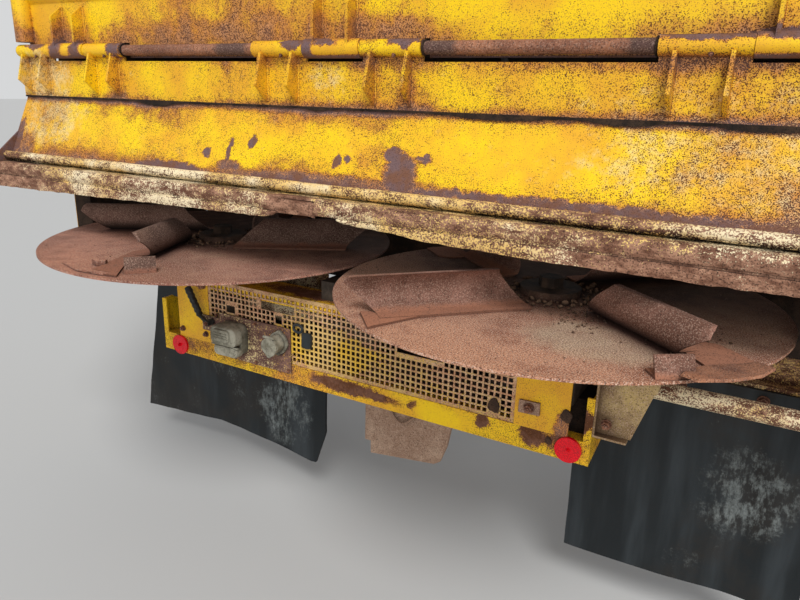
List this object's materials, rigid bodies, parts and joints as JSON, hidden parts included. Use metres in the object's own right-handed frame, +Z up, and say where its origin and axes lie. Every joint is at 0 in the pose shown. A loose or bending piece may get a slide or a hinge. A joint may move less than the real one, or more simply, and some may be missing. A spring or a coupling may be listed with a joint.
{
  "type": "rear spreading unit of a manure spreader",
  "caption": "Rear spreading unit of a manure spreader: beaters in a steel housing above spinning discs, with a hinged rear flap, lamp board, guard and mudflaps.",
  "frame": {"origin": "middle of the floor beam's front face, where the unit bolts to the load body", "axes": "+X to the right seen from behind, +Y forward towards the load body, +Z up"},
  "size_m": [2.55, 1.396, 2.4],
  "materials": {
    "yellow_paint": "weathered paint with rust spots",
    "rusty_steel": "rusted bare steel",
    "bare_shaft": "brown, worn smooth",
    "cast_housing": "dirty cast housing",
    "socket_grey": "weathered",
    "grip_rubber": "dull",
    "reflector_red": "glossy",
    "mudflap_rubber": "dusty"
  },
  "bodies": {
    "frame": {"floor_beam": "yellow_paint", "side_wall_left": "yellow_paint", "side_wall_right": "yellow_paint", "rear_post_left": "yellow_paint", "rear_post_right": "yellow_paint", "top_beam": "yellow_paint", "roof": "yellow_paint", "rear_wall": "yellow_paint", "hinge_shaft": "bare_shaft", "drop_plate": "rusty_steel", "front_shield": "rusty_steel", "bearings": "cast_housing", "chain_case": "yellow_paint", "rail_left": "yellow_paint", "rail_right": "yellow_paint", "cross_member": "yellow_paint", "tow_bracket": "rusty_steel", "deck_beam": "yellow_paint", "gearbox_left": "cast_housing", "gearbox_right": "cast_housing", "centre_gearbox": "cast_housing", "cross_shafts": "bare_shaft", "input_shaft": "bare_shaft", "lamp_board": "yellow_paint", "guard_top_rail": "yellow_paint", "lamp_panels": "yellow_paint", "guard_mesh": "yellow_paint", "socket_plate": "rusty_steel", "socket_large": "socket_grey", "socket_small": "socket_grey", "lever": "grip_rubber", "reflectors": "reflector_red", "tail_plate": "yellow_paint", "mudflap_bars": "yellow_paint", "mudflap_left": "mudflap_rubber", "mudflap_right": "mudflap_rubber"},
    "flap": {"flap_panel": "yellow_paint", "skirt": "yellow_paint", "lip": "rusty_steel"},
    "disc_left": {"disc_left": "rusty_steel", "vanes_left": "rusty_steel"},
    "disc_right": {"disc_right": "rusty_steel", "vanes_right": "rusty_steel"},
    "beater_lower": {"beater_lower": "rusty_steel", "flights_lower": "rusty_steel"},
    "beater_upper": {"beater_upper": "rusty_steel", "flights_upper": "rusty_steel"}
  },
  "joints": [
    {"name": "flap_hinge", "type": "hinge", "parent": "frame", "child": "flap", "pos_m": [0, -1.01, 0.465], "axis": [-1, 0, 0], "range_deg": [0, 75]},
    {"name": "disc_right_spin", "type": "hinge", "parent": "frame", "child": "disc_right", "pos_m": [0.5455, -0.856, -0.1], "axis": [0, 0, 1], "continuous": true},
    {"name": "disc_left_spin", "type": "hinge", "parent": "frame", "child": "disc_left", "pos_m": [-0.5455, -0.856, -0.1], "axis": [0, 0, 1], "continuous": true},
    {"name": "beater_lower_spin", "type": "hinge", "parent": "frame", "child": "beater_lower", "pos_m": [0, -0.43, 0.38], "axis": [1, 0, 0], "continuous": true},
    {"name": "beater_upper_spin", "type": "hinge", "parent": "frame", "child": "beater_upper", "pos_m": [0, -0.43, 1.02], "axis": [1, 0, 0], "continuous": true}
  ],
  "couplings": [
    {"joint": "disc_left_spin", "follows": "disc_right_spin", "ratio": -1},
    {"joint": "beater_upper_spin", "follows": "beater_lower_spin", "ratio": 1}
  ]
}
